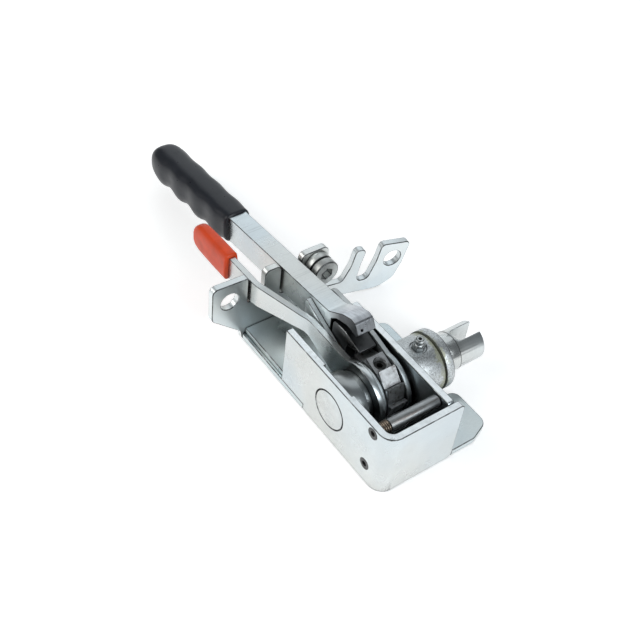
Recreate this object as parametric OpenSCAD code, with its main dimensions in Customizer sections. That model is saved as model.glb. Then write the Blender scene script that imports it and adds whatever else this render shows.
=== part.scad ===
// Curtain tensioner with ratchet handle, release lever and slotted output shaft.
// X runs from the handle to the front plate, Y runs along the shaft to its slotted end, Z is up.
// The origin is on the shaft axis, on the outer face of the shaft collar. Lengths are millimetres.

/* [Housing] */
// Outer width of the bent housing strap
housing_w = 54; // [46:0.5:70]
// Height of the housing strap
housing_h = 51; // [44:0.5:60]
// Shaft axis to the outer face of the front plate
front_x = 54.5; // [50:0.5:70]
// Shaft axis to the rear edge of the cheeks
rear_x = 49.5; // [40:0.5:60]
// Thickness of the strap
strap_t = 5; // [4:0.25:6]
// Reach of the front plate beyond the right cheek
front_lap = 4; // [2:0.5:6]
// Outer radius of the strap bend
bend_r = 10; // [7:0.5:14]
// Width of the dark gap round the shaft in the cheeks
cheek_gap = 0.5; // [0.3:0.05:0.8]

/* [Base] */
// Thickness of the base plate
base_t = 5; // [4:0.25:6]
// Thickness of the floor plate on the base plate
floor_t = 4.2; // [3:0.1:5]
// Inset of the floor plate from the left edge of the base plate
floor_inset = 2; // [1:0.25:4]
// Reach of the base wings beyond the housing
wing_reach = 38.5; // [30:0.5:45]

/* [Bracket] */
// Shaft axis to the front face of the rear bracket
bracket_x = 96.5; // [90:0.5:110]
// Thickness of the rear bracket
bracket_t = 5; // [4:0.25:6]
// Diameter of the two fixing holes
fix_d = 13.5; // [12.5:0.25:14.5]
// Angle of the bent comb arm
comb_angle = 9; // [0:1:15]
// Distance of the comb bend from the middle of the housing
comb_bend_y = 40; // [38:0.5:44]
// Radius of the stud discs
stud_r = 9.6; // [7:0.2:10]
// Height of the stud on the bracket
stud_h = 12.6; // [8:0.2:16]
// Radius of the stud rivet
stud_pin_r = 4; // [3:0.25:5]

/* [Shaft] */
// Diameter of the output shaft
shaft_d = 27; // [25:0.5:28]
// Length of the shaft beyond the collar
spigot_l = 32; // [26:0.5:40]
// Width of the slot in the shaft end
slot_w = 10; // [6:0.5:12]
// Depth of the slot in the shaft end
slot_l = 20; // [15:0.5:25]
// Gap between the bearings and the base plate
bearing_gap = 0.5; // [0.3:0.1:1.5]
// Length of the bearing boss
boss_l = 22.8; // [18:0.2:28]
// Thickness of the dust seal
seal_t = 1; // [0.8:0.1:2]
// Wall of the dust seal
seal_w = 5.5; // [4:0.1:6]
// Radius of the shaft collar
collar_r = 20.6; // [19:0.2:22]
// Length of the shaft collar
collar_l = 7; // [5:0.5:10]
// Amount by which the slotted length is turned smaller than its seat
tail_relief = 0.2; // [0.1:0.05:0.5]
// Running clearance between round parts
run_gap = 0.05; // [0.02:0.01:0.1]
// Clearance between flat parts that pass each other
side_gap = 0.4; // [0.2:0.05:0.6]

/* [Ratchet] */
// Number of ratchet teeth
teeth = 12; // [12]
// Gap between the tooth tips and the level of the base
tip_gap = 1; // [0.5:0.1:2]
// Depth of the teeth
tooth_depth = 4; // [3:0.1:4.5]
// Angle of the first tooth tip from the front
tip_angle = 76; // [70:1:80]

/* [Handle] */
// Thickness of the washer between the fork and the right cheek
washer_t = 2; // [1.5:0.1:3]
// Width of the handle bar
bar_w = 14; // [12:0.5:14.5]
// Height of the handle bar
bar_h = 20; // [16:0.5:22]
// Slope of the handle at rest
bar_slope = 5.5; // [4:0.5:7]
// Thickness of the fork plates
fork_t = 3.5; // [3:0.25:4]
// Step from the tooth tips in to the disc of the right fork plate
fork_step = 1.5; // [1:0.1:3]
// Step from the tooth tips in to the disc of the left fork plate
left_step = 4.5; // [3.5:0.1:5.5]
// Length of the handle grip
grip_l = 109; // [100:1:130]
// Width of the handle grip
grip_w = 24; // [18:0.5:26]
// Spacing of the finger grooves
finger_pitch = 25; // [20:0.5:26]
// Depth of the finger grooves
finger_depth = 2.6; // [1:0.1:3]

/* [Release] */
// Thickness of the release lever
lever_t = 4.4; // [3.5:0.1:4.8]
// Step from the tooth tips in to the release lever disc
lever_step = 0.5; // [0.3:0.1:2]
// Thickness of the washer between the release lever and the left hub
hub_washer_t = 4.3; // [2:0.1:5]
// Width of the release grip
release_w = 10.5; // [9:0.5:12]

/* [Pawls] */
// Radius of the drive pawl pin
drive_pin_r = 4; // [3:0.25:4.5]
// Radius of the hold pawl pin and the stop pin
cross_pin_r = 2.6; // [2:0.1:3]
// Radius of the pin heads
pin_head_r = 3.7; // [3.2:0.1:4.5]
// Length of the pin heads
pin_head_l = 3; // [2:0.1:3.5]
// Wall of the hold pawl sleeve
sleeve_wall = 1.3; // [1:0.1:2]
// Angle that lifts the hold pawl clear of the teeth
hold_lift = 4; // [3.5:0.25:4.25]

/* [Hidden] */
$fn = 64;
half_w = housing_w / 2;
in_y = half_w - strap_t;
low = -housing_h / 2;
top = housing_h / 2;
base_top = low + base_t;
floor_top = base_top + floor_t;
shaft_r = shaft_d / 2;
boss_r = -base_top - bearing_gap;
tip_r = top - tip_gap;
root_r = tip_r - tooth_depth;
fork_r = tip_r - fork_step;
left_r = tip_r - left_step;
lever_r = tip_r - lever_step;
sleeve_r = cross_pin_r + sleeve_wall;
fork_in = bar_w / 2;
fork_out = fork_in + fork_t;
bar_y = in_y - washer_t - 0.2 - fork_out;
lever_y1 = bar_y - fork_out - side_gap;
lever_y0 = lever_y1 - lever_t;
hub_y1 = lever_y0 - 0.2 - hub_washer_t;
boss_y1 = half_w + boss_l;
collar_y0 = boss_y1 + seal_t + 0.2;
shoulder_y = collar_y0 + collar_l;
shaft_y1 = shoulder_y + spigot_l;
pitch = 360 / teeth;
bar_z = 15.6;
stud_y = 29.5;
stud_z = 18.3;
drive_x = -33;
drive_z = 7;
hold_x = front_x - 14.5;
hold_z = top - 5;
stop_x = front_x - 16.5;
stop_z = -10.6;
arm_x = -55.5;
spring_turns = 4;
spring_wire = 0.7;
sleeve_y0 = -in_y + 0.3 + spring_turns * 2 * (spring_wire + 0.02) + 0.3;
cam_r = lever_r - 2.1;
side_y = -half_w + 3.5;

// Points of a rounded corner at b between a and c
function corner(a, b, c, r, n = 6) =
  let (u = (a - b) / norm(a - b), v = (c - b) / norm(c - b), half = acos(u * v) / 2)
  let (p = b + u * (r / tan(half)), q = b + v * (r / tan(half)))
  let (o = b + (u + v) / norm(u + v) * (r / sin(half)))
  let (a0 = atan2(p[1] - o[1], p[0] - o[0]), a1 = atan2(q[1] - o[1], q[0] - o[0]))
  let (sweep = (a1 - a0 + 540) % 360 - 180)
  [for (i = [0:n]) o + r * [cos(a0 + sweep * i / n), sin(a0 + sweep * i / n)]];

// Outline from a list of x, y and corner radius, with a number of steps in each corner
function outline(p, steps = 6) = let (n = len(p), xy = [for (q = p) [q[0], q[1]]])
  [for (i = [0:n - 1]) each (p[i][2] > 0
    ? corner(xy[(i + n - 1) % n], xy[i], xy[(i + 1) % n], p[i][2], steps) : [xy[i]])];

// Everything is drawn from the middle of the housing and moved to the collar face here
module place() {
  translate([0, -shoulder_y, 0]) children();
}

// Flat shape in X and Z carried from y0 to y1
module slab_y(y0, y1) {
  translate([0, y1, 0]) rotate([90, 0, 0]) linear_extrude(y1 - y0) children();
}

// Flat shape in Y and Z carried from x0 to x1
module slab_x(x0, x1) {
  translate([x0, 0, 0]) rotate([90, 0, 90]) linear_extrude(x1 - x0) children();
}

// Round bar along Y
module rod(y0, y1, r, x = 0, z = 0) {
  translate([x, y0, z]) rotate([-90, 0, 0]) cylinder(h = y1 - y0, r = r);
}

// Ring along Y
module ring(y0, y1, r, bore) {
  difference() {
    rod(y0, y1, r);
    rod(y0 - 1, y1 + 1, bore);
  }
}

// Moves a piece from the line of the bar to its place in the handle
module on_bar() {
  translate([-bracket_x, bar_y, bar_z]) rotate([0, -bar_slope, 0]) children();
}

// Holes for the shaft and the two cross pins
module cheek_holes() {
  rod(-half_w - 1, half_w + 1, shaft_r + cheek_gap);
  for (q = [[hold_x, hold_z], [stop_x, stop_z]]) {
    rod(-half_w - 1, half_w + 1, cross_pin_r, q[0], q[1]);
    rod(-half_w - 1, -half_w + pin_head_l, pin_head_r, q[0], q[1]);
  }
}

// Waste outside a vertical round of the strap bend
module bend_waste(x, y, r) {
  difference() {
    translate([x, y - r - 1, low - 2]) cube([r + 1, r + 1, housing_h + 4]);
    translate([x, y, low - 3]) cylinder(h = housing_h + 6, r = r);
  }
}

// Strap bent once, which makes the left cheek and the front plate
module housing() {
  bx = front_x - bend_r;
  by = -half_w + bend_r;
  end_y = half_w + front_lap;
  face = outline([[-half_w - 1, low, 0], [end_y, low, 3], [end_y, top, 3], [-half_w - 1, top, 0]]);
  color([0.78, 0.8, 0.82]) place() difference() {
    intersection() {
      translate([-rear_x, -half_w, low - 1]) cube([rear_x + front_x, half_w + end_y + 1, housing_h + 2]);
      slab_x(-rear_x - 1, front_x + 1) polygon(face);
    }
    bend_waste(bx, by, bend_r);
    difference() {
      translate([-rear_x - 1, -in_y, low - 2])
        cube([rear_x + 1 + front_x - strap_t, in_y + end_y + 2, housing_h + 4]);
      bend_waste(bx, by, bend_r - strap_t);
    }
    cheek_holes();
    // Seat of the base plate under the rear of the cheek
    translate([-rear_x - 1, -half_w - 1, low - 1]) cube([rear_x - 24, strap_t + 2, base_t + 1]);
    // Relief in the top of the cheek beside the hub
    translate([-14, -in_y - 1.5, top - 2.5]) cube([28, 3, 4]);
  }
}

// Flat right cheek between the base plate and the front plate
module right_cheek() {
  shape = outline([[-rear_x, base_top, 0], [front_x - strap_t, base_top, 0], [front_x - strap_t, top, 2.5],
    [-rear_x, top, 3]]);
  color([0.78, 0.8, 0.82]) place() difference() {
    slab_y(in_y, half_w) polygon(shape);
    cheek_holes();
  }
}

// Base plate with a window under the wheel and two wings beyond the right cheek
module base_plate() {
  out_y = half_w + wing_reach;
  bx = front_x - bend_r - 0.5;
  fx = front_x - strap_t;
  lap_y = half_w + front_lap + 0.4;
  shape = outline([[-bracket_x, -half_w, 0], [-25, -half_w, 0], [-25, -in_y, 0], [bx, -in_y, 0],
    [fx, -in_y + 6, 0], [fx, lap_y, 0], [front_x - 0.5, lap_y, 0], [front_x - 0.5, out_y - 15, 9],
    [front_x - 6.5, out_y, 7], [18, out_y, 6], [15, out_y - 17, 5], [-22, out_y - 17, 5],
    [-25, out_y - 0.8, 5], [-57, out_y - 0.8, 6], [-57, half_w, 4], [-bracket_x, half_w, 0]]);
  color([0.74, 0.76, 0.78]) place() difference() {
    translate([0, 0, low]) linear_extrude(base_t) polygon(shape);
    translate([-19, lever_y0 - 2, low - 1]) cube([38, in_y - 0.5 - lever_y0 + 2, base_t + 2]);
  }
}

// Second plate on the rear of the base plate
module floor_plate() {
  left = half_w - floor_inset;
  shape = outline([[-bracket_x, -left, 0], [-rear_x, -left, 0], [-rear_x, -in_y, 0], [-30, -in_y, 0],
    [-30, in_y, 0], [-rear_x, in_y, 0], [-rear_x, left, 0], [-bracket_x, left, 0]]);
  color([0.72, 0.74, 0.76]) place() translate([0, 0, base_top]) linear_extrude(floor_t) polygon(shape);
}

// Rear bracket with fixing ear, notches for both levers and a bent comb arm
module mounting_bracket() {
  lever_slot = side_y - 1;
  bar_l = bar_y - fork_in - 1.1;
  bar_r = bar_y + fork_in + 1.1;
  b = comb_bend_y;
  // Fill behind the bend, and the lap of the arm into the body
  wedge = bracket_t * sin(comb_angle) + 0.01;
  lap = 0.3;
  body = outline([[-51.5, 30.5, 4], [-51.5, 3, 5], [-half_w - 1.5, -18, 2], [-half_w, low, 0],
    [half_w, low, 0], [b, low + 1.5, 0], [b + wedge, low + 2.2, 0], [b + wedge, -10.2, 0], [b, -9.6, 0],
    [b - 0.5, 29.5, 5], [bar_r, 29.5, 4], [bar_r, 3.2, 2.5],
    [bar_l, 3.2, 2.5], [bar_l, 28.7, 4], [-11.5, 28.7, 4], [-11.5, 7.4, 2], [lever_slot, 7.4, 2],
    [lever_slot, 29.5, 2]]);
  arm = outline([[-lap, low + 1.5, 0], [17, low + 2.5, 12], [44, low + 0.3, 14], [56, low + 6, 10],
    [61.5, -6.5, 20], [66, 12.5, 3.5], [42.5, 15.8, 3.5], [39.6, 1.5, 25], [34.2, -13.2, 4.3],
    [24.8, -13.4, 4.3], [27.2, 2, 30], [30.6, 15.6, 3.5], [22.2, 16.6, 3.5], [19.4, 3, 25], [13.6, -9.8, 4],
    [-lap, -9.6, 0]]);
  color([0.8, 0.82, 0.84]) place() difference() {
    union() {
      slab_x(-bracket_x - bracket_t, -bracket_x) polygon(body);
      translate([-bracket_x, b, 0]) rotate([0, 0, -comb_angle]) slab_x(-bracket_t, 0) polygon(arm);
    }
    translate([-bracket_x - 2 * bracket_t, -38.3, 15.2]) rotate([0, 90, 0]) cylinder(h = 20, d = fix_d);
    translate([-bracket_x, b, 0]) rotate([0, 0, -comb_angle]) translate([-10, 52.5, 0.5])
      rotate([0, 90, 0]) cylinder(h = 20, d = fix_d);
    translate([-bracket_x - 10, stud_y, stud_z]) rotate([0, 90, 0]) cylinder(h = 20, r = stud_pin_r);
  }
}

// Riveted stud with two stacked discs on the front of the bracket
module catch_stud() {
  color([0.7, 0.72, 0.75]) place() translate([-bracket_x, stud_y, stud_z]) rotate([0, 90, 0]) difference() {
    union() {
      translate([0, 0, -bracket_t]) cylinder(h = bracket_t + 1, r = stud_pin_r);
      cylinder(h = stud_h - 1, r = stud_r - 1.6);
      cylinder(h = stud_h * 0.44, r = stud_r);
      translate([0, 0, stud_h * 0.55]) cylinder(h = stud_h * 0.45 - 0.5, r = stud_r);
      translate([0, 0, stud_h - 0.5]) cylinder(h = 0.5, r1 = stud_r, r2 = stud_r - 0.5);
    }
    translate([0, 0, stud_h * 0.6]) cylinder(h = stud_h, r = stud_r * 0.5, $fn = 6);
  }
}

// Bearing ring welded inside the left cheek
module left_hub() {
  color([0.75, 0.77, 0.79]) place() ring(-in_y, hub_y1, boss_r, shaft_r + run_gap);
}

// Bearing boss outside the right cheek with a flat for the grease nipple
module bearing_boss() {
  color([0.77, 0.79, 0.8]) place() difference() {
    ring(half_w, boss_y1, boss_r, shaft_r + run_gap);
    translate([0, 40, boss_r - 1.2]) cylinder(h = 8, r = 5.4);
    translate([0, 40, shaft_r - 1]) cylinder(h = 10, r = 3);
  }
}

// Grease nipple with hexagon and ball head
module grease_nipple() {
  z0 = boss_r - 1.2;
  color([0.7, 0.7, 0.66]) place() translate([0, 40, 0]) difference() {
    union() {
      translate([0, 0, shaft_r + 0.8]) cylinder(h = z0 - shaft_r, r = 3);
      translate([0, 0, z0]) cylinder(h = 3.6, r = 4.6, $fn = 6);
      translate([0, 0, z0 + 3.6]) cylinder(h = 1.4, r1 = 3.2, r2 = 2.3);
      translate([0, 0, z0 + 5]) cylinder(h = 2, r1 = 2.3, r2 = 3.3);
      translate([0, 0, z0 + 7]) cylinder(h = 1.6, r1 = 3.3, r2 = 2.4);
    }
    translate([0, 0, z0 + 6]) cylinder(h = 4, r = 1);
  }
}

// Seal ring between the boss and the collar
module dust_seal() {
  color([0.75, 0.72, 0.45]) place() ring(boss_y1, boss_y1 + seal_t, shaft_r + 0.4 + seal_w, shaft_r + 0.4);
}

// Two thrust washers on the shaft
module thrust_washers() {
  color([0.66, 0.68, 0.7]) place() {
    ring(hub_y1, lever_y0 - 0.2, 17.5, shaft_r + 0.3);
    ring(in_y - washer_t, in_y, 17.5, shaft_r + 0.3);
  }
}

// Output shaft with a slotted end
module output_shaft() {
  seat_y1 = shaft_y1 - slot_l - 1;
  slot_y = shaft_y1 - slot_l + slot_w / 2;
  tail_r = shaft_r - tail_relief;
  color([0.8, 0.82, 0.84]) place() difference() {
    union() {
      rod(-half_w, seat_y1, shaft_r);
      rod(seat_y1 - 1, shaft_y1 - 1, tail_r);
      translate([0, shaft_y1 - 1, 0]) rotate([-90, 0, 0]) cylinder(h = 1, r1 = tail_r, r2 = tail_r - 1);
    }
    // Relief groove under the collar
    difference() {
      rod(shoulder_y - 2, shoulder_y, shaft_r + 1);
      rod(shoulder_y - 3, shoulder_y + 1, shaft_r - 0.4);
    }
    translate([-slot_w / 2, slot_y, -shaft_r - 1]) cube([slot_w, slot_l, shaft_d + 2]);
    translate([0, slot_y, -shaft_r - 1]) cylinder(h = shaft_d + 2, d = slot_w);
  }
}

// Collar fixed on the shaft
module shaft_collar() {
  color([0.76, 0.78, 0.8]) place() difference() {
    union() {
      rod(collar_y0, shoulder_y - 1, collar_r);
      translate([0, shoulder_y - 1, 0]) rotate([-90, 0, 0]) cylinder(h = 1, r1 = collar_r, r2 = collar_r - 1);
    }
    rod(collar_y0 - 1, shoulder_y + 1, shaft_r);
  }
}

// Ratchet wheel with saw teeth and a threaded hole for the set screw
module ratchet_wheel() {
  rim = [for (i = [0:teeth - 1]) let (a = tip_angle - i * pitch)
    each [root_r * [cos(a), sin(a)], tip_r * [cos(a), sin(a)]]];
  color([0.55, 0.56, 0.57]) place() difference() {
    slab_y(bar_y - fork_in + side_gap, bar_y + fork_in - side_gap) polygon(rim);
    rod(-half_w, half_w, shaft_r);
    translate([0, bar_y, 0]) rotate([0, 75 - tip_angle, 0]) cylinder(h = 40, r = 4);
  }
}

// Set screw in the ratchet wheel
module set_screw() {
  color([0.15, 0.15, 0.16]) place() translate([0, bar_y, 0]) rotate([0, 75 - tip_angle, 0]) difference() {
    translate([0, 0, shaft_r + 0.2]) cylinder(h = 6, r = 4);
    translate([0, 0, shaft_r + 3.2]) cylinder(h = 5, r = 2.3, $fn = 6);
  }
}

// Point of the handle in X and Z, from its place along and above the middle of the bar
function on_line(along, up) = [-bracket_x, bar_z]
  + along * [cos(bar_slope), sin(bar_slope)] + up * [-sin(bar_slope), cos(bar_slope)];

// Handle bar with a forged head that rises over the drive pawl
module handle_bar() {
  rear = -bracket_x * 1.75;
  profile = outline([concat(on_line(rear, -bar_h / 2), [0]), concat(on_line(rear, bar_h / 2), [0]),
    concat(on_line(51.5, bar_h / 2), [9]), [-33, 39.2, 9], [-25, 42.2, 4], [-20.3, 41.5, 3],
    [-16.2, 34.6, 1.2], [-18.5, 32.8, 1], [-27, 34.6, 6], [-38, 31, 4], [-42.8, 27, 1],
    concat(on_line(53.5, -bar_h / 2), [0])], 14);
  color([0.8, 0.82, 0.84]) place() difference() {
    slab_y(bar_y - bar_w / 2, bar_y + bar_w / 2) polygon(profile);
    // Small hole in the front of the head
    translate([-18, bar_y - 3, 36.6]) rotate([0, 60, 0]) translate([0, 0, -3]) cylinder(h = 8, r = 0.8);
  }
}

// Fork plate with a neck along the bar and a disc round the shaft, from the upper points of its neck
module fork_plate(y0, upper, r) {
  neck = outline(concat([[-66, 13, 5]], upper, [[-2, -6, 0], [-20, -8, 0]]));
  difference() {
    union() {
      slab_y(y0, y0 + fork_t) polygon(neck);
      rod(y0, y0 + fork_t, r);
    }
    rod(y0 - 1, y0 + fork_t + 1, shaft_r + run_gap);
    rod(y0 - 1, y0 + fork_t + 1, drive_pin_r, drive_x, drive_z);
  }
}

// The left plate falls away from the bar and leaves the side of the drive pawl bare
module left_fork_plate() {
  upper = [[-66, 27.3, 2], [-17, 7, 0], [-2, 7, 0]];
  color([0.76, 0.78, 0.8]) place() fork_plate(bar_y - fork_out, upper, left_r);
}

module right_fork_plate() {
  upper = [[-66, 29.2, 7], [-44, 29.6, 20], [-18, 26.2, 12], [-2, fork_r - 0.6, 0]];
  color([0.76, 0.78, 0.8]) place() fork_plate(bar_y + fork_in, upper, fork_r);
}

// Handle grip with finger grooves on its underside and a rounded end
module handle_grip() {
  g0 = -66;
  g1 = g0 - grip_l;
  half = grip_w / 2;
  under = [for (i = [0:44]) let (l = g0 - 6 - i * (grip_l - 20) / 44)
    [l, -12.6 - finger_depth * (0.5 + 0.5 * cos(360 * (g0 - 15 - l) / finger_pitch))]];
  side = concat([[g0, 13], [g0, -12.4]], under, outline([[g1 + 13, -12.6, 0], [g1, -12.6, 10],
    [g1, 13.8, 11], [g1 + 30, 13.8, 0]]));
  section = outline([[-half, -17, 7], [half, -17, 7], [half, 14, 6], [-half, 14, 6]]);
  plan = outline([[g0, -half, 1], [g0, half, 1], [g1, half, 9], [g1, -half, 9]]);
  color([0.1, 0.1, 0.11]) place() on_bar() difference() {
    intersection() {
      slab_y(-half, half) polygon(side);
      slab_x(g1 - 1, g0 + 1) polygon(section);
      translate([0, 0, -20]) linear_extrude(40) polygon(plan);
    }
    translate([-bracket_x * 1.75, -bar_w / 2, -bar_h / 2]) cube([bracket_x * 1.75, bar_w, bar_h]);
  }
}

// Point at a radius and an angle round the shaft
function polar(r, a) = [r * cos(a), r * sin(a)];

// Outline corner at a radius, an angle and a corner radius
function at_tip(q) = concat(polar(tip_r + q[0], q[1]), [q[2]]);

// Drive pawl under the head of the bar, between the fork plates
module drive_pawl() {
  nose = [for (q = [[2.2, 119, 0.6], [0.6, 120.5, 0], [7, 145, 3]]) at_tip(q)];
  shape = outline(concat([[-25.6, -1, 4], [-41, -1, 4], [-41, 27, 3], [-28.8, 27.6, 8]], nose));
  y0 = bar_y - fork_in + side_gap;
  y1 = bar_y + fork_in - side_gap;
  color([0.5, 0.51, 0.53]) place() difference() {
    slab_y(y0, y1) polygon(shape);
    rod(y0 - 1, y1 + 1, drive_pin_r + run_gap, drive_x, drive_z);
    rod(y0 - 1, y0 + 3.2, 6.4, drive_x, drive_z);
  }
}

module drive_pawl_pin() {
  color([0.6, 0.62, 0.64]) place() rod(bar_y - fork_out, bar_y + fork_out, drive_pin_r, drive_x, drive_z);
}

// Coil of round wire along Y
module coil(turns, r, wire) {
  for (i = [0:turns - 1])
    translate([0, wire + i * 2 * (wire + 0.02), 0]) rotate([90, 0, 0])
      rotate_extrude($fn = 40) translate([r, 0]) circle(r = wire, $fn = 16);
}

module drive_pawl_spring() {
  color([0.4, 0.4, 0.42]) place() translate([drive_x, bar_y - fork_in + 0.1, drive_z]) coil(3, 5.2, 0.5);
}

// Release lever with a disc round the shaft and a sideways step to its grip
module release_lever() {
  x1 = arm_x - 36.5;
  mid = sqrt(pow(arm_x - x1, 2) + pow(lever_y0 - side_y, 2));
  m = lever_t / 2 * tan(asin((lever_y0 - side_y) / mid) / 2);
  bend = 14;
  plan = outline([[30, lever_y0, 0], [30, lever_y1, 0], [arm_x - m, lever_y1, bend + lever_t],
    [x1 - m, side_y + lever_t, bend], [-161, side_y + lever_t, 0], [-161, side_y, 0],
    [x1 + m, side_y, bend + lever_t], [arm_x + m, lever_y0, bend]]);
  side = outline([[0, lever_r - 4.8, 0], [-58, lever_r - 5, 25], [-92, lever_r + 3.2, 30],
    [-161, lever_r + 0.2, 4], [-161, 6.8, 4], [-92, 9.6, 30], [-56, 7, 30],
    [-22, -4, 0], [0, -lever_r + 4, 0]]);
  color([0.79, 0.81, 0.83]) place() difference() {
    union() {
      intersection() {
        translate([0, 0, -40]) linear_extrude(90) polygon(plan);
        slab_y(-half_w - 5, half_w) polygon(side);
      }
      rod(lever_y0, lever_y1, lever_r);
    }
    rod(lever_y0 - 1, lever_y1 + 1, shaft_r + run_gap);
    // Cam recess that the second finger of the hold pawl rides on
    slab_y(lever_y0 - 1, lever_y1 + 1) polygon([for (q = [[cam_r, -50], [cam_r, -42], [lever_r + 0.1, -21],
      [40, -21], [40, -75], [lever_r + 0.1, -75]]) q[0] * [cos(q[1]), sin(q[1])]]);
  }
}

// Dipped grip on the release lever
module release_grip() {
  cy = side_y + lever_t / 2;
  shape = outline([[-122, 28.4, 1], [-166, 26.6, 9], [-166, 4.4, 9], [-122, 6, 1]]);
  color([0.78, 0.2, 0.08]) place() difference() {
    slab_y(cy - release_w / 2, cy + release_w / 2) polygon(shape);
    intersection() {
      translate([-161, side_y, -40]) cube([60, lever_t, 90]);
      slab_y(-half_w - 5, half_w) polygon(outline([[-92, lever_r + 3.2, 0], [-161, lever_r + 0.2, 4],
        [-161, 6.8, 4], [-92, 9.6, 0]]));
    }
  }
}

// Hold pawl with its sleeve on the front cross pin, one finger in the wheel and one on the release cam
module hold_pawl() {
  inner = [for (q = [[0.7, -41.2, 0], [2.1, -31.8, 3], [4.1, -8, 10]]) at_tip(q)];
  outer = [for (q = [[11.6, -4.8, 12], [7.4, -32.2, 3], [4.1, -41.6, 0.5]]) at_tip(q)];
  hub = [[hold_x - 3.4, hold_z - 3, 0], [hold_x, hold_z + 2.5, 0], [hold_x + 3.4, hold_z - 1, 0]];
  shape = outline(concat(inner, hub, outer));
  color([0.6, 0.6, 0.6]) place() difference() {
    union() {
      // The outline is drawn lifted clear of the teeth and turned in to its resting place
      translate([hold_x, 0, hold_z]) rotate([0, hold_lift, 0]) translate([-hold_x, 0, -hold_z]) {
        slab_y(bar_y - fork_in + side_gap + 1, bar_y + fork_in - side_gap - 1) polygon(shape);
        slab_y(lever_y0 + 0.4, lever_y1 - 0.4) polygon(shape);
      }
      rod(sleeve_y0, in_y - 0.4, sleeve_r, hold_x, hold_z);
    }
    rod(-half_w, half_w, cross_pin_r + run_gap, hold_x, hold_z);
  }
}

// Pin with a hexagon socket, its ends level with the cheeks
module cross_pin(x, z) {
  difference() {
    union() {
      rod(-half_w, half_w, cross_pin_r, x, z);
      rod(-half_w, -half_w + pin_head_l, pin_head_r, x, z);
    }
    translate([x, -half_w - 0.1, z]) rotate([-90, 0, 0]) cylinder(h = 2.4, r = 2.1, $fn = 6);
  }
}

module hold_pawl_pin() {
  color([0.2, 0.2, 0.21]) place() cross_pin(hold_x, hold_z);
}

module hold_pawl_spring() {
  color([0.45, 0.3, 0.2]) place() translate([hold_x, -in_y + 0.3, hold_z])
    coil(spring_turns, cross_pin_r + 1.1, spring_wire);
}

module stop_pin() {
  color([0.2, 0.2, 0.21]) place() cross_pin(stop_x, stop_z);
}

housing();
right_cheek();
base_plate();
floor_plate();
mounting_bracket();
catch_stud();
left_hub();
bearing_boss();
grease_nipple();
dust_seal();
thrust_washers();
output_shaft();
shaft_collar();
ratchet_wheel();
set_screw();
handle_bar();
left_fork_plate();
right_fork_plate();
handle_grip();
drive_pawl();
drive_pawl_pin();
drive_pawl_spring();
release_lever();
release_grip();
hold_pawl();
hold_pawl_pin();
hold_pawl_spring();
stop_pin();
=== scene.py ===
"""Looks of the curtain tensioner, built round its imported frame."""

import math

import bmesh
import bpy
from mathutils import Matrix, Vector


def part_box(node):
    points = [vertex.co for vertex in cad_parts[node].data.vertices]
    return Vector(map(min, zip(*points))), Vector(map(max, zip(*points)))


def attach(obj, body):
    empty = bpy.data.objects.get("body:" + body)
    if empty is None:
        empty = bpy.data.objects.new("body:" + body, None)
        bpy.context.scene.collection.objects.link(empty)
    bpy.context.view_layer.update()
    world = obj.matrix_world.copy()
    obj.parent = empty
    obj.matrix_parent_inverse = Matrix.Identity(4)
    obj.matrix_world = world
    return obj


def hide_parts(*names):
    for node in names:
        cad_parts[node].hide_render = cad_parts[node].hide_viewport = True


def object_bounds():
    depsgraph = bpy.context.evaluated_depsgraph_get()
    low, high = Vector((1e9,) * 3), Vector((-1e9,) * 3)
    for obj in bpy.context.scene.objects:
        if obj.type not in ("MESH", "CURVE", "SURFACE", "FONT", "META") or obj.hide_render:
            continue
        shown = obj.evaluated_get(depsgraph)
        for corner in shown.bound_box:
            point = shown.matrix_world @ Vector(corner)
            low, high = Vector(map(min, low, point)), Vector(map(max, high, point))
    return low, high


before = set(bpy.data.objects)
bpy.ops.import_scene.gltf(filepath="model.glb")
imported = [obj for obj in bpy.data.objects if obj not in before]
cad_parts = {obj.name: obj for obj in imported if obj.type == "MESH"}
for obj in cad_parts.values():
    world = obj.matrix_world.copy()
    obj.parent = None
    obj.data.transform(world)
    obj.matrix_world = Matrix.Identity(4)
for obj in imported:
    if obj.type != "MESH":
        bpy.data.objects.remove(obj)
CAD_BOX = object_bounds()

bl_info = {
    "name": "Curtain tensioner",
    "version": (1, 0, 0),
    "blender": (4, 5, 0),
    "location": "View3D > Sidebar > Tensioner",
    "description": "Finishes, grips and studio for a ratchet curtain tensioner",
    "category": "Object",
}

MM = 0.001
GRIP_LOW, GRIP_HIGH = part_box("handle_grip")
RED_LOW, RED_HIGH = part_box("release_grip")

# Directions of the drawn lines: the noise is squeezed across them
LINES_ALONG_X = (1, 8, 8)
LINES_ALONG_Y = (8, 1, 8)
LINES_ACROSS_BAR = (9, 1, 1)
LINES_ROUND_SHAFT = (0.15, 6.0, 0.15)

# Painted shade in joints, inside corners and deep hollows, as (reach, darkest grey); in the joints it
# also stands for grime
JOINT_GRIME_AND_SHADE = (2.5 * MM, 0.22)
HEAD_SHADE = (12 * MM, 0.13)
CHEEK_SHADE = (18 * MM, 0.26)
LEVER_SHADE = (22 * MM, 0.14)
FORK_SHADE = (14 * MM, 0.10)

# Stains of grease and rust, and the oiled spring wire
WHEEL_STAIN = (0.13, 0.105, 0.09)
PAWL_STAIN = (0.06, 0.06, 0.06)
SLEEVE_STAIN = (0.14, 0.10, 0.08)
SPRING_STAIN = (0.16, 0.09, 0.05)
SPRING_WIRE = (0.3, 0.24, 0.19)

# Broken edges: how wide they are, and which edges are sharp enough to break
SHEET_EDGE = 0.5 * MM
TURNED_EDGE = 0.3 * MM
BAR_EDGE = 0.4 * MM
LEVER_EDGE = 0.35 * MM
EDGE_STEPS = 2
SHARP_ANGLE = math.radians(40)
FLAT_ANGLE = math.radians(0.4)
SHADE_ANGLE = math.radians(18)
JOIN_GAP = 0.002 * MM

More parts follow.
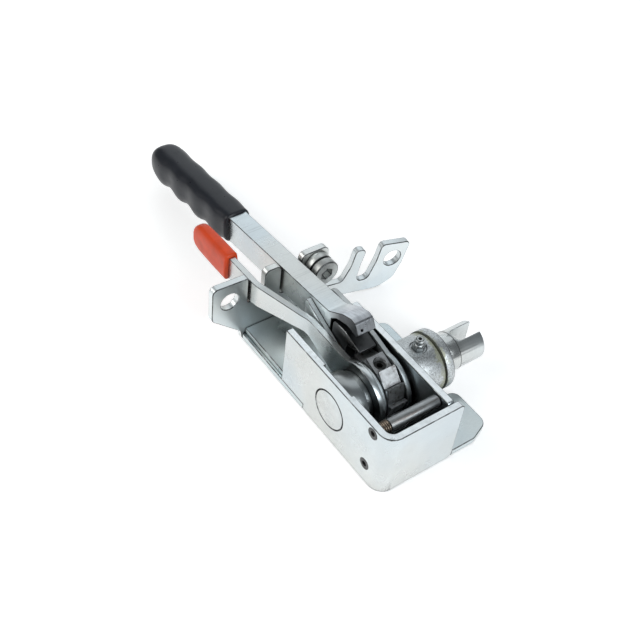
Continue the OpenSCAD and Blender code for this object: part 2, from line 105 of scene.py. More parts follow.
BRACKET_BEND = (-19.2 * MM, -16.0 * MM)  # the two ends of the bend along Y
HEAD_X = -46 * MM  # the forged head of the bar starts here
TIP_X = HEAD_X + 20 * MM

# Handle grip, measured from a point on the middle line of the bar
BAR_POINT_X, BAR_POINT_Z = -96.5 * MM, 15.6 * MM
GRIP_MOUTH = 66 * MM
GRIP_MOUTH_ROUND = 1.2 * MM
GRIP_DOME = 14 * MM
GRIP_DOME_POWER = 2.9
GRIP_TOP, GRIP_TOP_GAIN = 12.0 * MM, 0.7 * MM
GRIP_DEPTH, GRIP_DEPTH_GAIN = 11.6 * MM, 1.2 * MM
GRIP_TRIM, GRIP_WIDTH_GAIN, GRIP_WIDTH_SWELL = 1.3 * MM, 1.8 * MM, 0.9 * MM
GRIP_POWER, GRIP_POWER_LOSS = 3.5, 0.9
FIRST_SWELL = 15 * MM
SWELL_FADE = 6 * MM
GRIP_RINGS, GRIP_POINTS = 130, 56

# Release grip
RED_HALF_HEIGHT = 11.0 * MM
RED_DROP = 1.8 * MM
RED_MOUTH_ROUND = 1 * MM
RED_POWER, RED_POWER_LOSS, RED_POWER_REACH = 4.2, 1.4, 2.4
RED_RINGS, RED_POINTS = 60, 44

DOME_RINGS = 24
DOME_END = 0.02  # the last ring of a dome, as a share of its section

# Studio
CAMERA_RIGHT = Vector((0.5774, 0.8112, 0.0929))
CAMERA_UP = Vector((-0.6239, 0.3649, 0.6911))
CAMERA_BACK = Vector((0.5267, -0.4570, 0.7168))
SENSOR = 36
FLOOR_HALF = 6.0
FLOOR_GLOW = 0.5
ROOM_GREY, ROOM_STRENGTH = (0.42, 0.45, 0.47, 1), 0.36
WARM, COOL = (1.0, 0.99, 0.965), (0.95, 1.0, 1.03)
LAMPS = (  # name, place, size, power, colour
    ("left_box", (-0.5, -1.1, 0.9), 0.9, 10.0, WARM),
    ("front_box", (1.2, 0.1, 0.7), 0.8, 10.4, COOL),
    ("back_box", (-0.85, 0.70, 1.10), 1.5, 5.2, COOL),
    ("rear_box", (-1.25, 0.65, 0.14), 1.0, 2.2, COOL),
)


class TensionerGrips(bpy.types.PropertyGroup):
    """Sizes of the two moulded grips."""

    slope: bpy.props.FloatProperty(
        name="Bar slope", description="Slope of the handle bar at rest",
        default=math.radians(5.5), subtype="ANGLE")
    length: bpy.props.FloatProperty(
        name="Handle grip length", description="Length of the handle grip along the bar",
        default=108 * MM, unit="LENGTH", precision=4)
    width: bpy.props.FloatProperty(
        name="Handle grip width", description="Width of the handle grip",
        default=GRIP_HIGH.y - GRIP_LOW.y, unit="LENGTH", precision=4)
    finger_pitch: bpy.props.FloatProperty(
        name="Finger spacing", description="Spacing of the finger grooves",
        default=25 * MM, unit="LENGTH", precision=4)
    finger_depth: bpy.props.FloatProperty(
        name="Finger depth", description="Depth of the finger grooves",
        default=3 * MM, unit="LENGTH", precision=4)


class TensionerFinish(bpy.types.PropertyGroup):
    """Colours of the finishes."""

    zinc: bpy.props.FloatVectorProperty(
        name="Zinc plate", description="Colour of the plated sheet", size=3,
        default=(0.70, 0.73, 0.74), subtype="COLOR", min=0, max=1)
    steel: bpy.props.FloatVectorProperty(
        name="Bare steel", description="Colour of the machined steel", size=3,
        default=(0.42, 0.43, 0.44), subtype="COLOR", min=0, max=1)
    black: bpy.props.FloatVectorProperty(
        name="Black grip", description="Colour of the handle grip", size=3,
        default=(0.018, 0.020, 0.026), subtype="COLOR", min=0, max=1)
    red: bpy.props.FloatVectorProperty(
        name="Red grip", description="Colour of the release grip", size=3,
        default=(0.72, 0.066, 0.012), subtype="COLOR", min=0, max=1)
    grease: bpy.props.FloatVectorProperty(
        name="Grease", description="Colour of the grease at the boss", size=3,
        default=(0.34, 0.345, 0.19), subtype="COLOR", min=0, max=1)


class TensionerStage(bpy.types.PropertyGroup):
    """Camera and studio."""

    eye: bpy.props.FloatVectorProperty(
        name="Camera position", description="Place of the camera", size=3,
        default=(301.69 * MM, -363.61 * MM, 499.01 * MM), subtype="TRANSLATION")
    lens: bpy.props.FloatProperty(
        name="Lens", description="Focal length on a 36 mm sensor",
        default=59.27, subtype="DISTANCE_CAMERA")
    floor_gap: bpy.props.FloatProperty(
        name="Floor gap", description="Floor below the lowest point",
        default=0.05 * MM, unit="LENGTH")


# Materials


def new_material(name):
    """An empty Principled material with its object coordinates."""
    material = bpy.data.materials.new(name)
    material.use_nodes = True
    tree = material.node_tree
    shader = tree.nodes["Principled BSDF"]
    place = tree.nodes.new("ShaderNodeTexCoord")
    return material, tree, shader, place.outputs["Object"]


def stretched(tree, coords, scale):
    """Coordinates stretched along an axis."""
    mapping = tree.nodes.new("ShaderNodeMapping")
    mapping.inputs["Scale"].default_value = scale
    tree.links.new(coords, mapping.inputs["Vector"])
    return mapping.outputs["Vector"]


def noise(tree, coords, scale, detail=4.0, rough=0.55):
    """Noise between 0 and 1."""
    node = tree.nodes.new("ShaderNodeTexNoise")
    node.inputs["Scale"].default_value = scale
    node.inputs["Detail"].default_value = detail
    node.inputs["Roughness"].default_value = rough
    tree.links.new(coords, node.inputs["Vector"])
    return node.outputs["Fac"]


def ramp(tree, value, stops):
    """Colour ramp of (position, colour) stops."""
    node = tree.nodes.new("ShaderNodeValToRGB")
    line = node.color_ramp
    while len(line.elements) < len(stops):
        line.elements.new(0.5)
    for element, (position, colour) in zip(line.elements, stops):
        element.position = position
        element.color = (*colour, 1)
    tree.links.new(value, node.inputs["Fac"])
    return node.outputs["Color"]


def grey(value):
    """A grey of one value."""
    return (value, value, value)


def scaled(colour, factor):
    """A lighter or darker colour."""
    return tuple(min(1.0, c * factor) for c in colour)


def bump(tree, shader, height, strength, distance):
    """Height into the shader's normal."""
    node = tree.nodes.new("ShaderNodeBump")
    node.inputs["Strength"].default_value = strength
    node.inputs["Distance"].default_value = distance
    tree.links.new(height, node.inputs["Height"])
    tree.links.new(node.outputs["Normal"], shader.inputs["Normal"])


def mixed(tree, share, first, second):
    """One colour turning into another as the share goes from 0 to 1."""
    node = tree.nodes.new("ShaderNodeMix")
    node.data_type = "RGBA"
    tree.links.new(share, node.inputs["Factor"])
    for socket, colour in (("A", first), ("B", second)):
        slot = next(s for s in node.inputs if s.name == socket and s.type == "RGBA")
        if isinstance(colour, bpy.types.NodeSocket):
            tree.links.new(colour, slot)
        else:
            slot.default_value = (*colour, 1)
    return next(s for s in node.outputs if s.type == "RGBA")


def calc(tree, operation, first, second):
    """One step of arithmetic on sockets or plain numbers."""
    node = tree.nodes.new("ShaderNodeMath")
    node.operation = operation
    for slot, value in zip(node.inputs, (first, second)):
        if isinstance(value, bpy.types.NodeSocket):
            tree.links.new(value, slot)
        else:
            slot.default_value = value
    return node.outputs[0]


def axes(tree, vector):
    """The X, Y and Z of a vector."""
    node = tree.nodes.new("ShaderNodeSeparateXYZ")
    tree.links.new(vector, node.inputs[0])
    return node.outputs


def rise(tree, value, start, slope):
    """A value that grows from 0 at its start."""
    return calc(tree, "MULTIPLY", calc(tree, "SUBTRACT", value, start), slope)


def ragged_band(tree, coords, middle, reach, ragged):
    """Grease near one place along Y and 0 away from it, with a torn edge."""
    away = calc(tree, "ABSOLUTE", calc(tree, "SUBTRACT", axes(tree, coords)["Y"], middle), 0)
    tear = rise(tree, noise(tree, coords, 105, 6, 0.68), 0.5, ragged)
    inside = calc(tree, "SUBTRACT", reach, calc(tree, "ADD", away, tear))
    share = calc(tree, "ADD", calc(tree, "MULTIPLY", inside, 420), 0.5)
    return ramp(tree, share, [(0.05, grey(0)), (1.0, grey(0.62))])


def multiplied(tree, first, second):
    """Two colours multiplied."""
    node = tree.nodes.new("ShaderNodeMix")
    node.data_type, node.blend_type = "RGBA", "MULTIPLY"
    node.inputs["Factor"].default_value = 1.0
    slots = [s for s in node.inputs if s.type == "RGBA"]
    tree.links.new(first, slots[0])
    tree.links.new(second, slots[1])
    return next(s for s in node.outputs if s.type == "RGBA")


def crevice(tree, reach, dark):
    """Painted shade: 1 in the open and darker in joints and inside corners."""
    node = tree.nodes.new("ShaderNodeAmbientOcclusion")
    node.samples = 6
    node.inputs["Distance"].default_value = reach
    return ramp(tree, node.outputs["AO"], [(0.30, grey(dark)), (0.78, grey(1.0))])


def zinc_finish(name, colour, lines_run, rough=(0.25, 0.36), cloud=0.08, shade=(JOINT_GRIME_AND_SHADE,)):
    """Bright zinc plate: warm and cool clouds, drawn lines, small nicks, and painted shade in the
    joints and hollows (in the joints also grime).
    """
    material, tree, shader, coords = new_material(name)
    shader.inputs["Metallic"].default_value = 1.0
    warm = tuple(c * k for c, k in zip(colour, (1.02, 1.0, 0.965)))
    cool = tuple(c * k for c, k in zip(colour, (0.955, 1.0, 1.025)))
    hue = ramp(tree, noise(tree, coords, 14, 3, 0.5), [(0.38, warm), (0.62, cool)])
    clouds = ramp(tree, noise(tree, coords, 42, 6, 0.62),
                  [(0.30, grey(1 - cloud)), (0.62, grey(1.0))])
    lines = noise(tree, stretched(tree, coords, lines_run), 620, 4, 0.6)
    drawn = ramp(tree, lines, [(0.30, grey(0.88)), (0.55, grey(1.0))])
    nicks = ramp(tree, noise(tree, coords, 260, 3, 0.5),
                 [(0.20, grey(0.78)), (0.25, grey(1.0))])
    wear_and_shade = multiplied(tree, drawn, nicks)
    # Painted shade: each occlusion mask darkens the colour in joints and hollows
    for reach, dark in shade:
        wear_and_shade = multiplied(tree, wear_and_shade, crevice(tree, reach, dark))
    tint = multiplied(tree, multiplied(tree, hue, clouds), wear_and_shade)
    tree.links.new(tint, shader.inputs["Base Color"])
    dull = ramp(tree, noise(tree, coords, 45, 4, 0.55),
                [(0.35, grey(rough[0])), (0.70, grey(rough[1]))])
    tree.links.new(dull, shader.inputs["Roughness"])
    bump(tree, shader, lines, 0.05, 0.2 * MM)
    return material


def finish_parts(material):
    """Tree, shader, coordinates, normal and plain colour of a zinc finish, to build on."""
    tree = material.node_tree
    shader = tree.nodes["Principled BSDF"]
    place = next(n for n in tree.nodes if n.type == "TEX_COORD")
    plain = shader.inputs["Base Color"].links[0].from_socket
    return tree, shader, place.outputs["Object"], place.outputs["Normal"], plain


def sheet_finish(name, colour, corner, shade=(JOINT_GRIME_AND_SHADE,)):
    """Zinc sheet, lighter and mottled on the faces that point up, rubbed dark round one bent corner.
    """
    material = zinc_finish(name, colour, LINES_ALONG_X, shade=shade)
    tree, shader, coords, normal, plain = finish_parts(material)
    upward = ramp(tree, axes(tree, normal)["Z"], [(0.90, grey(0)), (0.97, grey(1))])
    mottle = ramp(tree, noise(tree, coords, 170, 5, 0.65),
                  [(0.34, scaled(colour, 1.02)), (0.56, scaled(colour, 1.27))])
    reach, flatten = 12 * MM, 4
    apart = tree.nodes.new("ShaderNodeVectorMath")
    apart.operation = "DISTANCE"
    apart.inputs[1].default_value = (corner[0], corner[1], flatten * corner[2])
    tree.links.new(stretched(tree, coords, (1, 1, flatten)), apart.inputs[0])
    torn = calc(tree, "MULTIPLY", noise(tree, coords, 420, 5, 0.7), reach)
    near = calc(tree, "SUBTRACT", reach, calc(tree, "ADD", apart.outputs["Value"], torn))
    rub = ramp(tree, calc(tree, "MULTIPLY", near, 380), [(0.0, grey(1.0)), (1.0, grey(0.22))])
    tint = multiplied(tree, mixed(tree, upward, plain, mottle), rub)
    tree.links.new(tint, shader.inputs["Base Color"])
    return material


def bar_finish(name, colour):
    """Drawn bar with cross marks on its upward faces and a darker forged head, darker still towards
    its tip, with painted shade on the head's left side.
    """
    material = zinc_finish(name, colour, LINES_ACROSS_BAR, shade=(JOINT_GRIME_AND_SHADE, HEAD_SHADE))
    tree, shader, coords, normal, plain = finish_parts(material)
    along, facing = axes(tree, coords)["X"], axes(tree, normal)
    marks = ramp(tree, noise(tree, stretched(tree, coords, (1, 0.04, 0.04)), 420, 3, 0.6),
                 [(0.36, grey(0.86)), (0.46, grey(1.0))])
    upward = ramp(tree, facing["Z"], [(0.80, grey(0)), (0.95, grey(1))])
    marked = multiplied(tree, plain, mixed(tree, upward, grey(1.0), marks))
    streaks = noise(tree, stretched(tree, coords, (0.12, 1, 0.4)), 520, 5, 0.65)
    forged = ramp(tree, streaks, [(0.34, (0.62, 0.62, 0.66)), (0.64, (0.88, 0.88, 0.93))])
    share = ramp(tree, rise(tree, along, HEAD_X, 90), [(0.0, grey(0)), (1.0, grey(1.0))])
    tip = ramp(tree, rise(tree, along, TIP_X, 160), [(0.0, grey(1.0)), (1.0, grey(0.68))])
    # Painted shade: the head's faces that look towards -Y are darkened
    left_side_shade = ramp(tree, calc(tree, "MULTIPLY", facing["Y"], -1),
                [(0.55, grey(1.0)), (0.9, grey(0.22))])
    head = multiplied(tree, multiplied(tree, multiplied(tree, plain, forged), tip), left_side_shade)
    tree.links.new(mixed(tree, share, marked, head), shader.inputs["Base Color"])
    return material


def turned_finish(name, colour, rough=(0.22, 0.34), cloud=0.16):
    """Turned steel with rings round the shaft axis."""
    return zinc_finish(name, colour, LINES_ROUND_SHAFT, rough, cloud)


def cast_finish(name, colour, grease, seam, reach):
    """Mottled plate on a cast boss or a collar, with grease at a seam round the shaft."""
    material, tree, shader, coords = new_material(name)
    pits = noise(tree, coords, 1150, 5, 0.66)
    tint = ramp(tree, pits, [(0.38, scaled(colour, 0.52)), (0.50, scaled(colour, 0.92)),
                             (0.63, scaled(colour, 1.15))])
    smear = ragged_band(tree, coords, seam - 1.0 * MM, reach, 22 * MM)
    tree.links.new(mixed(tree, smear, tint, grease), shader.inputs["Base Color"])
    tree.links.new(mixed(tree, smear, grey(1.0), grey(0.25)), shader.inputs["Metallic"])
    tree.links.new(mixed(tree, smear, grey(0.46), grey(0.55)), shader.inputs["Roughness"])
    bump(tree, shader, pits, 0.14, 0.4 * MM)
    return material


def edge_finish(name, colour):
    """Dulled edge of a cut plate, darker in patches."""
    material, tree, shader, coords = new_material(name)
    shader.inputs["Metallic"].default_value = 1.0
    patch = noise(tree, coords, 95, 6, 0.7)
    tint = ramp(tree, patch, [(0.36, scaled(colour, 0.05)), (0.52, scaled(colour, 0.16)),
                              (0.66, scaled(colour, 0.75))])
    tree.links.new(tint, shader.inputs["Base Color"])
    shader.inputs["Roughness"].default_value = 0.42
    return material


def worn_steel(name, colour, stain, rough=(0.26, 0.5), drawn=(1, 1, 1)):
    """Machined or forged steel with grease and brown stains, drawn out along an axis."""
    material, tree, shader, coords = new_material(name)
    shader.inputs["Metallic"].default_value = 1.0
    blotch = noise(tree, stretched(tree, coords, drawn), 70, 6, 0.62)
    tint = ramp(tree, blotch, [(0.30, stain), (0.48, scaled(colour, 0.8)), (0.68, colour)])
    tree.links.new(tint, shader.inputs["Base Color"])
    dull = ramp(tree, noise(tree, coords, 210, 5, 0.6),
                [(0.35, grey(rough[0])), (0.7, grey(rough[1]))])
    tree.links.new(dull, shader.inputs["Roughness"])
    bump(tree, shader, noise(tree, coords, 1400, 3, 0.5), 0.06, 0.2 * MM)
    return material


def black_oxide(name, level):
    """Dark oiled steel, from its grey level."""
    material, tree, shader, coords = new_material(name)
    shader.inputs["Metallic"].default_value = 0.6
    tint = ramp(tree, noise(tree, coords, 300),
                [(0.35, grey(0.5 * level)), (0.7, grey(1.4 * level))])
    tree.links.new(tint, shader.inputs["Base Color"])
    shader.inputs["Roughness"].default_value = 0.42
    return material


def moulded_plastic(name, colour, rough, grain, shine=0.34):
    """Moulded or dipped plastic with a fine grain."""
    material, tree, shader, coords = new_material(name)
    tint = ramp(tree, noise(tree, coords, 90, 4),
                [(0.3, scaled(colour, 0.85)), (0.7, scaled(colour, 1.15))])
    tree.links.new(tint, shader.inputs["Base Color"])
    dull = ramp(tree, noise(tree, coords, 160, 4),
                [(0.3, grey(rough - 0.06)), (0.7, grey(rough + 0.06))])
    tree.links.new(dull, shader.inputs["Roughness"])
    shader.inputs["Specular IOR Level"].default_value = shine
    bump(tree, shader, noise(tree, coords, 2600, 2, 0.5), grain, 0.15 * MM)
    return material


# Meshes


def dress(material, *nodes):
    """Gives CAD nodes a finish."""
    for name in nodes:
        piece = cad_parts[name]
        piece.data.materials.clear()
        piece.data.materials.append(material)


def soften(width, edge, *nodes):
    """Small broken edges with their own finish on CAD nodes."""
    for name in nodes:
        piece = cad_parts[name]
        piece.data.materials.append(edge)
        seam = piece.modifiers.new("joined_faces", "WELD")
        seam.merge_threshold = JOIN_GAP
        flat = piece.modifiers.new("flat_faces", "DECIMATE")
        flat.decimate_type = "DISSOLVE"
        flat.angle_limit = FLAT_ANGLE
        cut = piece.modifiers.new("broken_edges", "BEVEL")
        cut.width = width
        cut.segments = EDGE_STEPS
        cut.limit_method = "ANGLE"
        cut.angle_limit = SHARP_ANGLE
        cut.use_clamp_overlap = False
        cut.loop_slide = False
        cut.harden_normals = True
        cut.material = len(piece.data.materials) - 1


def broken_plate(name, node, width, bend, finish, edge):
    """A copy of a bent plate with broken edges, except in the band along Y that holds its bend."""
    shape = bmesh.new()
    shape.from_mesh(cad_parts[node].data)
    bmesh.ops.remove_doubles(shape, verts=shape.verts, dist=JOIN_GAP)
    bmesh.ops.dissolve_limit(shape, angle_limit=FLAT_ANGLE, verts=shape.verts, edges=shape.edges)
    for y in bend:
        everything = [*shape.verts, *shape.edges, *shape.faces]
        bmesh.ops.bisect_plane(shape, geom=everything, plane_co=(0, y, 0), plane_no=(0, 1, 0))
    slack = 0.01 * MM
    low, high = bend[0] - slack, bend[1] + slack
    sharp = [e for e in shape.edges if e.calc_face_angle(0) > SHARP_ANGLE
             and not all(low < v.co.y < high for v in e.verts)]
    bmesh.ops.bevel(shape, geom=sharp, offset=width, segments=EDGE_STEPS, profile=0.5,
                    affect="EDGES", clamp_overlap=False, loop_slide=False, material=1)
    mesh = bpy.data.meshes.new(name)
    shape.to_mesh(mesh)
    shape.free()
    mesh.shade_smooth()
    mesh.set_sharp_from_angle(angle=SHADE_ANGLE)
    mesh.materials.append(finish)
    mesh.materials.append(edge)
    piece = bpy.data.objects.new(name, mesh)
    bpy.context.scene.collection.objects.link(piece)
    return piece


def loft(name, rings, body, material):
    """A closed skin over rings of points, riding on a body."""
    count = len(rings[0])
    points = [p for ring in rings for p in ring]
    faces = []
    for i in range(len(rings) - 1):
        for k in range(count):
            a, b = i * count + k, i * count + (k + 1) % count
            faces.append((a, a + count, b + count, b))
    faces.append(tuple(range(count)))
    faces.append(tuple((len(rings) - 1) * count + k for k in reversed(range(count))))
    mesh = bpy.data.meshes.new(name)
    mesh.from_pydata(points, [], faces)
    mesh.update()
    mesh.shade_smooth()
    piece = bpy.data.objects.new(name, mesh)
    bpy.context.scene.collection.objects.link(piece)
    mesh.materials.append(material)
    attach(piece, body)
    return piece


def domed_steps(length, dome, count):
    """Places along a grip, closer together over its domed end."""
    plain = [(length - dome) * i / count for i in range(count)]
    turns = [math.pi / 2 * i / DOME_RINGS for i in range(DOME_RINGS + 1)]
    return plain + [length - dome + dome * math.sin(turn) for turn in turns]


def dome_share(left, dome, power):
    """How much of a grip's section remains at a distance from its end."""
    if left >= dome:
        return 1.0
    return max(DOME_END, max(0.0, 1 - (1 - left / dome) ** power) ** (1 / power))


def rounded_ring(half_w, top, low, power, count):
    """Points of a rounded section, as (across, up)."""
    ring = []
    for k in range(count):
        a = 2 * math.pi * k / count
        c, s = math.cos(a), math.sin(a)
        across = half_w * math.copysign(abs(c) ** (2 / power), c)
        up = (top if s > 0 else low) * abs(s) ** (2 / power)
        ring.append((across, up))
    return ring


class TENSIONER_OT_sheet_pieces(bpy.types.Operator):
    """Finish the bent housing, the base plates and the rear bracket"""

    bl_idname = "tensioner.sheet_pieces"
    bl_label = "Sheet pieces"

    def execute(self, context):
        colours = context.scene.tensioner_finish
        low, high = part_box("housing")
        zinc = sheet_finish("zinc_sheet", colours.zinc, (high.x, low.y, high.z))
        cooler = tuple(c * k for c, k in zip(colours.zinc, (0.98, 1.01, 1.01)))
        base = zinc_finish("zinc_plate", cooler, LINES_ALONG_Y)
        edge = edge_finish("cut_edge", colours.zinc)
        # Painted light: the rear bracket gets a lighter copy of the zinc, 1.17 times its colour
        bracket = zinc_finish("zinc_bracket_painted_light", scaled(colours.zinc, 1.17), LINES_ALONG_X, (0.32, 0.44))
        unrubbed = (high.x + 50 * MM, high.y, high.z)
        inside = sheet_finish("zinc_cheek", colours.zinc, unrubbed, shade=(CHEEK_SHADE,))
        dress(zinc, "housing")
        dress(inside, "right_cheek")
        dress(base, "base_plate", "floor_plate")
        soften(SHEET_EDGE, edge, "housing", "right_cheek", "base_plate", "floor_plate")
        plate = broken_plate("rear_bracket_plate", "mounting_bracket", SHEET_EDGE, BRACKET_BEND,
                             bracket, edge)
        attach(plate, "frame")
        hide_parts("mounting_bracket")
        return {"FINISHED"}


class TENSIONER_OT_shaft_pieces(bpy.types.Operator):
    """Finish the shaft, its bearings, the stud and the grease nipple"""

    bl_idname = "tensioner.shaft_pieces"
    bl_label = "Shaft pieces"

    def execute(self, context):
        colours = context.scene.tensioner_finish
        turned = turned_finish("shaft_steel", scaled(colours.zinc, 0.96))
        seam = (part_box("bearing_boss")[1].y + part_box("shaft_collar")[0].y) / 2
        cast = cast_finish("cast_steel", scaled(colours.zinc, 0.86), colours.grease, seam, 2.4 * MM)
        edge = edge_finish("turned_edge", colours.zinc)
        dull = turned_finish("stud_steel", scaled(colours.zinc, 1.05), (0.44, 0.60), 0.55)
        dress(turned, "output_shaft")
        dress(dull, "catch_stud")
        machined = turned_finish("machined_steel", scaled(colours.zinc, 0.60), (0.26, 0.36))
        dress(machined, "left_hub", "thrust_washers", "drive_pawl_pin")
        dress(cast, "bearing_boss", "shaft_collar")
        nipple = turned_finish("nipple_steel", scaled(colours.zinc, 0.8), (0.38, 0.52))
        dress(nipple, "grease_nipple")
        dress(moulded_plastic("greased_seal", scaled(colours.grease, 0.14), 0.5, 0.1), "dust_seal")
        soften(TURNED_EDGE, edge, "output_shaft", "shaft_collar", "bearing_boss", "catch_stud",
               "left_hub", "grease_nipple")
        return {"FINISHED"}


class TENSIONER_OT_ratchet_pieces(bpy.types.Operator):
    """Finish the ratchet wheel, the pawls, the pins and the springs"""

    bl_idname = "tensioner.ratchet_pieces"
    bl_label = "Ratchet pieces"

    def execute(self, context):
        colours = context.scene.tensioner_finish
        edge = edge_finish("worn_edge", colours.zinc)
        wheel = worn_steel("wheel_steel", scaled(colours.steel, 1.35), WHEEL_STAIN,
                           rough=(0.38, 0.55), drawn=(4, 4, 4))
        sleeve = worn_steel("sleeve_steel", scaled(colours.zinc, 0.66), SLEEVE_STAIN,
                            rough=(0.40, 0.56), drawn=(4.5, 0.3, 4.5))
        spring = worn_steel("spring_steel", SPRING_WIRE, SPRING_STAIN)
        dress(wheel, "ratchet_wheel")
        dress(worn_steel("pawl_steel", scaled(colours.steel, 0.3), PAWL_STAIN), "drive_pawl")
        dress(sleeve, "hold_pawl")
        dress(spring, "hold_pawl_spring", "drive_pawl_spring")
        dress(black_oxide("black_steel", 0.024), "set_screw")
        dress(black_oxide("pin_steel", 0.10), "hold_pawl_pin", "stop_pin")
        soften(BAR_EDGE, edge, "ratchet_wheel", "drive_pawl", "hold_pawl")
        return {"FINISHED"}


class TENSIONER_OT_levers(bpy.types.Operator):
    """Finish the handle bar, the fork plates and the release lever"""

    bl_idname = "tensioner.levers"
    bl_label = "Levers"

    def execute(self, context):
        colours = context.scene.tensioner_finish
        zinc = zinc_finish("zinc_lever", colours.zinc, LINES_ALONG_X,
                           shade=(JOINT_GRIME_AND_SHADE, LEVER_SHADE))
        # Painted light: the left fork plate gets a lighter copy of the zinc, 1.17 times brighter than
        # plain would be at 1.3 times its colour
        painted_light_fork = zinc_finish("zinc_fork", scaled(colours.zinc, 1.3), LINES_ALONG_X,
                             rough=(0.48, 0.60), shade=())
        clouded = zinc_finish("zinc_fork_right", colours.zinc, LINES_ALONG_X,
                              rough=(0.46, 0.6), cloud=0.3, shade=(FORK_SHADE,))
        edge = edge_finish("lever_edge", colours.zinc)
        dress(bar_finish("zinc_bar", colours.zinc), "handle_bar")
        dress(zinc, "release_lever")
        dress(painted_light_fork, "left_fork_plate")
        dress(clouded, "right_fork_plate")
        soften(BAR_EDGE, edge, "handle_bar")
        soften(LEVER_EDGE, edge, "left_fork_plate", "right_fork_plate", "release_lever")
        return {"FINISHED"}


class TENSIONER_OT_handle_grip(bpy.types.Operator):
    """Make the moulded handle grip with its finger swells and domed end"""

    bl_idname = "tensioner.handle_grip"
    bl_label = "Handle grip"

    def execute(self, context):
        sizes = context.scene.tensioner_grips
        turn = Matrix.Rotation(-sizes.slope, 4, "Y")
        start = Vector((BAR_POINT_X, (GRIP_LOW.y + GRIP_HIGH.y) / 2, BAR_POINT_Z))
        rings = []
        for gone in domed_steps(sizes.length, GRIP_DOME, GRIP_RINGS):
            share = gone / sizes.length
            wave = math.cos(2 * math.pi * (gone - FIRST_SWELL) / sizes.finger_pitch)
            swell = (0.5 + 0.5 * wave) * min(1.0, gone / SWELL_FADE)
            half = sizes.width / 2 - GRIP_TRIM + GRIP_WIDTH_GAIN * share + GRIP_WIDTH_SWELL * swell
            top = GRIP_TOP + GRIP_TOP_GAIN * share
            low = -(GRIP_DEPTH + GRIP_DEPTH_GAIN * share) - sizes.finger_depth * swell
            shrink = dome_share(sizes.length - gone, GRIP_DOME, GRIP_DOME_POWER)
            if gone < GRIP_MOUTH_ROUND:
                shrink = 0.94 + 0.06 * math.sqrt(gone / GRIP_MOUTH_ROUND)
            ring = rounded_ring(half * shrink, top * shrink, low * shrink,
                                GRIP_POWER - GRIP_POWER_LOSS * share, GRIP_POINTS)
            rings.append([start + turn @ Vector((-GRIP_MOUTH - gone, across, up))
                          for across, up in ring])
        colour = context.scene.tensioner_finish.black
        black = moulded_plastic("black_grip", colour, 0.33, 0.012, 0.28)
        grip = loft("handle_grip_moulding", rings, "handle", black)
        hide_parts("handle_grip")
        return {"FINISHED"}


class TENSIONER_OT_release_grip(bpy.types.Operator):
    """Make the dipped grip of the release lever"""

    bl_idname = "tensioner.release_grip"
    bl_label = "Release grip"

    def execute(self, context):
        middle = (RED_LOW + RED_HIGH) / 2
        half_w = (RED_HIGH.y - RED_LOW.y) / 2
        half_h = RED_HALF_HEIGHT
        rings = []
        length = RED_HIGH.x - RED_LOW.x
        for gone in domed_steps(length, half_h, RED_RINGS):
            left = length - gone
            shrink, flat = dome_share(left, half_h, 2), dome_share(left, half_w, 2)
            if gone < RED_MOUTH_ROUND:
                shrink = flat = 0.9 + 0.1 * gone / RED_MOUTH_ROUND
            power = RED_POWER - RED_POWER_LOSS * max(0.0, 1 - left / (RED_POWER_REACH * half_h))
            centre = middle.z + RED_DROP * (0.5 - gone / length)
            ring = rounded_ring(half_w * flat, half_h * shrink, -half_h * shrink, power, RED_POINTS)
            rings.append([Vector((RED_HIGH.x - gone, middle.y + across, centre + up))
                          for across, up in ring])
        colour = context.scene.tensioner_finish.red
        red = moulded_plastic("red_grip", colour, 0.34, 0.012)
        grip = loft("release_grip_moulding", rings, "release", red)
        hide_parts("release_grip")
        return {"FINISHED"}


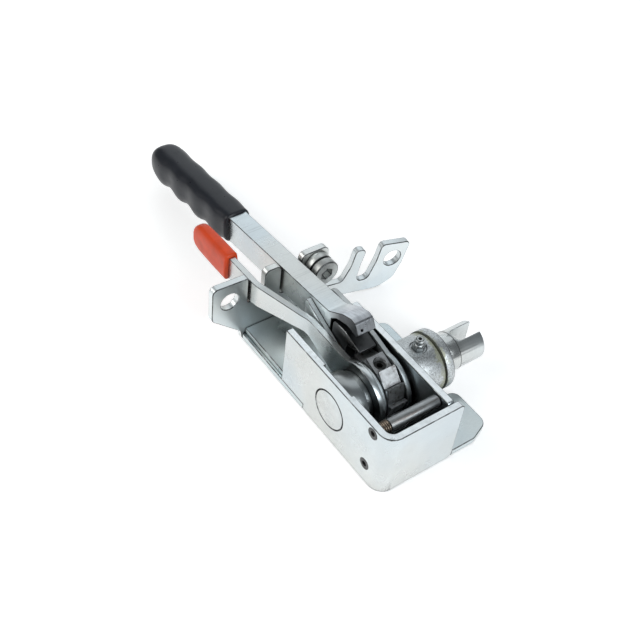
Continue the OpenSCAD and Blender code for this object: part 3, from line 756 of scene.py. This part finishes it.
class TENSIONER_OT_stage(bpy.types.Operator):
    """Make the floor, the lights and the camera"""

    bl_idname = "tensioner.stage"
    bl_label = "Stage"

    def execute(self, context):
        stage = context.scene.tensioner_stage
        self.make_floor(stage)
        self.make_light()
        camera = bpy.data.cameras.new("camera")
        camera.lens, camera.sensor_width = stage.lens, SENSOR
        eye = bpy.data.objects.new("camera", camera)
        turn = Matrix((CAMERA_RIGHT, CAMERA_UP, CAMERA_BACK)).transposed().to_4x4()
        eye.matrix_world = Matrix.Translation(Vector(stage.eye)) @ turn
        camera.clip_start, camera.clip_end = 0.01, 50
        context.scene.collection.objects.link(eye)
        context.scene.camera = eye
        context.scene.view_settings.view_transform = "Standard"
        return {"FINISHED"}

    def make_floor(self, stage):
        """A white floor that keeps the shadow."""
        half = FLOOR_HALF
        z = CAD_BOX[0].z - stage.floor_gap
        corners = [(-half, -half, z), (half, -half, z), (half, half, z), (-half, half, z)]
        mesh = bpy.data.meshes.new("floor")
        mesh.from_pydata(corners, [], [(0, 1, 2, 3)])
        floor = bpy.data.objects.new("floor", mesh)
        bpy.context.scene.collection.objects.link(floor)
        material, tree, shader, _ = new_material("white_floor")
        shader.inputs["Base Color"].default_value = (0.86, 0.86, 0.86, 1)
        shader.inputs["Roughness"].default_value = 0.9
        shader.inputs["Specular IOR Level"].default_value = 0.0
        path = tree.nodes.new("ShaderNodeLightPath")
        seen = calc(tree, "MAXIMUM", path.outputs["Is Camera Ray"], path.outputs["Is Glossy Ray"])
        seen = calc(tree, "MAXIMUM", seen, path.outputs["Is Transmission Ray"])
        shader.inputs["Emission Color"].default_value = (1, 1, 1, 1)
        glow = calc(tree, "MULTIPLY", seen, FLOOR_GLOW)
        tree.links.new(glow, shader.inputs["Emission Strength"])
        mesh.materials.append(material)

    def make_light(self):
        """Soft boxes and a grey room."""
        scene = bpy.context.scene
        world = bpy.data.worlds.new("room")
        scene.world = world
        world.use_nodes = True
        sky = world.node_tree.nodes["Background"]
        sky.inputs["Color"].default_value = ROOM_GREY
        sky.inputs["Strength"].default_value = ROOM_STRENGTH
        for name, place, size, power, colour in LAMPS:
            lamp = bpy.data.lights.new(name, "AREA")
            lamp.size, lamp.energy, lamp.color = size, power, colour
            box = bpy.data.objects.new(name, lamp)
            box.location = place
            box.rotation_mode = "QUATERNION"
            box.rotation_quaternion = (-Vector(place)).to_track_quat("-Z", "Y")
            scene.collection.objects.link(box)


class TENSIONER_PT_panel(bpy.types.Panel):
    """Steps of the tensioner in the sidebar"""

    bl_label = "Tensioner"
    bl_idname = "TENSIONER_PT_panel"
    bl_space_type = "VIEW_3D"
    bl_region_type = "UI"
    bl_category = "Tensioner"

    def draw(self, context):
        for step in STEPS:
            self.layout.operator(step.bl_idname)


SETTINGS = (
    ("tensioner_grips", TensionerGrips),
    ("tensioner_finish", TensionerFinish),
    ("tensioner_stage", TensionerStage),
)
STEPS = (
    TENSIONER_OT_sheet_pieces,
    TENSIONER_OT_shaft_pieces,
    TENSIONER_OT_ratchet_pieces,
    TENSIONER_OT_levers,
    TENSIONER_OT_handle_grip,
    TENSIONER_OT_release_grip,
    TENSIONER_OT_stage,
)


def register():
    """Register the settings, the steps and the panel."""
    for name, group in SETTINGS:
        bpy.utils.register_class(group)
        setattr(bpy.types.Scene, name, bpy.props.PointerProperty(type=group))
    for step in (*STEPS, TENSIONER_PT_panel):
        bpy.utils.register_class(step)


def unregister():
    """Remove what register added."""
    for step in reversed((*STEPS, TENSIONER_PT_panel)):
        bpy.utils.unregister_class(step)
    for name, group in reversed(SETTINGS):
        delattr(bpy.types.Scene, name)
        bpy.utils.unregister_class(group)


def main():
    """Run every step."""
    register()
    for step in STEPS:
        group, name = step.bl_idname.split(".")
        getattr(getattr(bpy.ops, group), name)()


if __name__ == "__main__":
    main()
